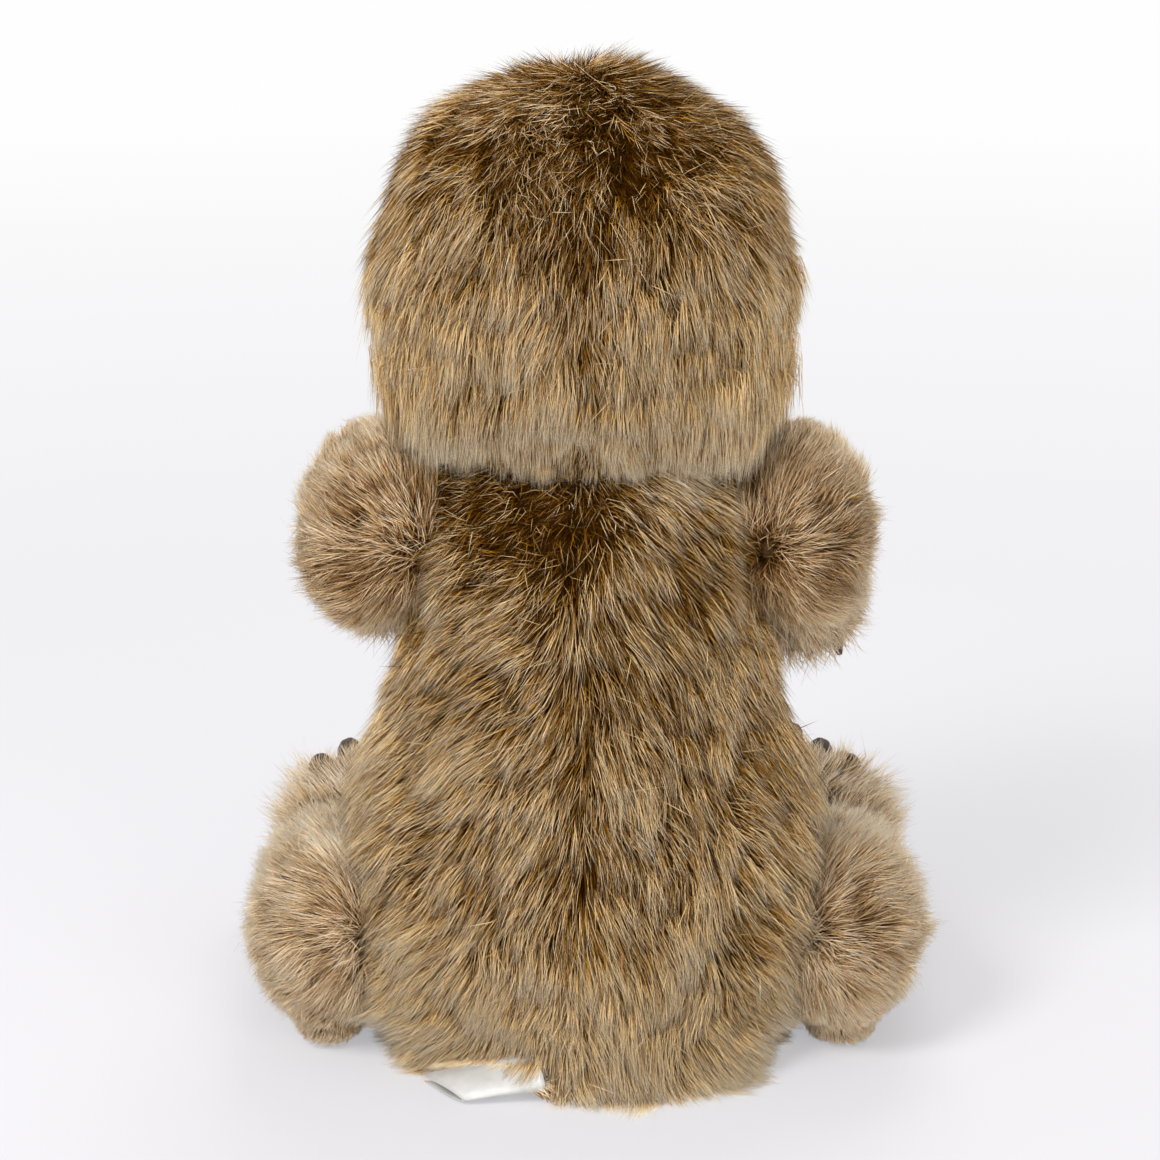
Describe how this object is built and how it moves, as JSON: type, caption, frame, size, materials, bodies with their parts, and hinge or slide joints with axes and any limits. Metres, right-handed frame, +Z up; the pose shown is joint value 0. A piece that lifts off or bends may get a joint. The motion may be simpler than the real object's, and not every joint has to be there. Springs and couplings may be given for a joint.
{
  "type": "jointed plush sloth",
  "caption": "Seated long-pile plush sloth with a round earless head, pale face, hooked claws, and a head, arms and legs that turn on snap-lock disc joints.",
  "frame": {"origin": "middle of the flat seat under the torso, on the surface that the toy sits on", "axes": "+Z up from the seat to the top of the head; the face looks along -Y; +X is towards the toy's left side"},
  "size_m": [0.183, 0.1789, 0.258],
  "materials": {
    "fur": "long pile fur fabric, tan tips over dark brown roots",
    "stuffing": "loose polyester fibre",
    "plush": "short plush",
    "felt": "felt",
    "suede": "suede cloth",
    "claw": "stuffed suede cloth",
    "eye": "polished",
    "nose": "satin",
    "thread": "embroidery thread",
    "joint": "moulded",
    "canvas": "plain weave bag of pellets",
    "satin": "bare satin ribbon"
  },
  "bodies": {
    "torso": {"torso_skin": "fur", "torso_stuffing": "stuffing", "pellet_bag": "canvas", "care_label": "satin", "neck_joint_disc": "joint", "arm_left_joint_disc": "joint", "leg_left_joint_disc": "joint", "arm_right_joint_disc": "joint", "leg_right_joint_disc": "joint"},
    "head": {"head_skin": "fur", "head_stuffing": "stuffing", "face_panel": "plush", "nose": "nose", "nose_washer": "joint", "mouth_stitch": "thread", "neck_joint_stem": "joint", "neck_joint_lock": "joint", "eye_left": "eye", "eye_washer_left": "joint", "eye_patch_left": "felt", "eye_right": "eye", "eye_washer_right": "joint", "eye_patch_right": "felt"},
    "arm_left": {"arm_left_skin": "fur", "arm_left_stuffing": "stuffing", "arm_left_pad": "suede", "arm_left_claw_inner": "claw", "arm_left_claw_middle": "claw", "arm_left_claw_outer": "claw", "arm_left_joint_stem": "joint", "arm_left_joint_lock": "joint"},
    "leg_left": {"leg_left_skin": "fur", "leg_left_stuffing": "stuffing", "leg_left_pad": "suede", "leg_left_claw_inner": "claw", "leg_left_claw_middle": "claw", "leg_left_claw_outer": "claw", "leg_left_joint_stem": "joint", "leg_left_joint_lock": "joint"},
    "arm_right": {"arm_right_skin": "fur", "arm_right_stuffing": "stuffing", "arm_right_pad": "suede", "arm_right_claw_inner": "claw", "arm_right_claw_middle": "claw", "arm_right_claw_outer": "claw", "arm_right_joint_stem": "joint", "arm_right_joint_lock": "joint"},
    "leg_right": {"leg_right_skin": "fur", "leg_right_stuffing": "stuffing", "leg_right_pad": "suede", "leg_right_claw_inner": "claw", "leg_right_claw_middle": "claw", "leg_right_claw_outer": "claw", "leg_right_joint_stem": "joint", "leg_right_joint_lock": "joint"}
  },
  "joints": [
    {"name": "neck_turn", "type": "hinge", "parent": "torso", "child": "head", "pos_m": [0, 0, 0.163], "axis": [0, 0, 1], "continuous": true},
    {"name": "shoulder_left", "type": "hinge", "parent": "torso", "child": "arm_left", "pos_m": [0.042, 0, 0.143], "axis": [-0.9928, 0, -0.1197], "range_deg": [-12, 60]},
    {"name": "shoulder_right", "type": "hinge", "parent": "torso", "child": "arm_right", "pos_m": [-0.042, 0, 0.143], "axis": [-0.9928, 0, 0.1197], "range_deg": [-8, 62]},
    {"name": "hip_left", "type": "hinge", "parent": "torso", "child": "leg_left", "pos_m": [0.0525, 0, 0.0285], "axis": [1, 0, 0], "range_deg": [-10, 100]},
    {"name": "hip_right", "type": "hinge", "parent": "torso", "child": "leg_right", "pos_m": [-0.0525, 0, 0.0285], "axis": [1, 0, 0], "range_deg": [-10, 100]}
  ]
}
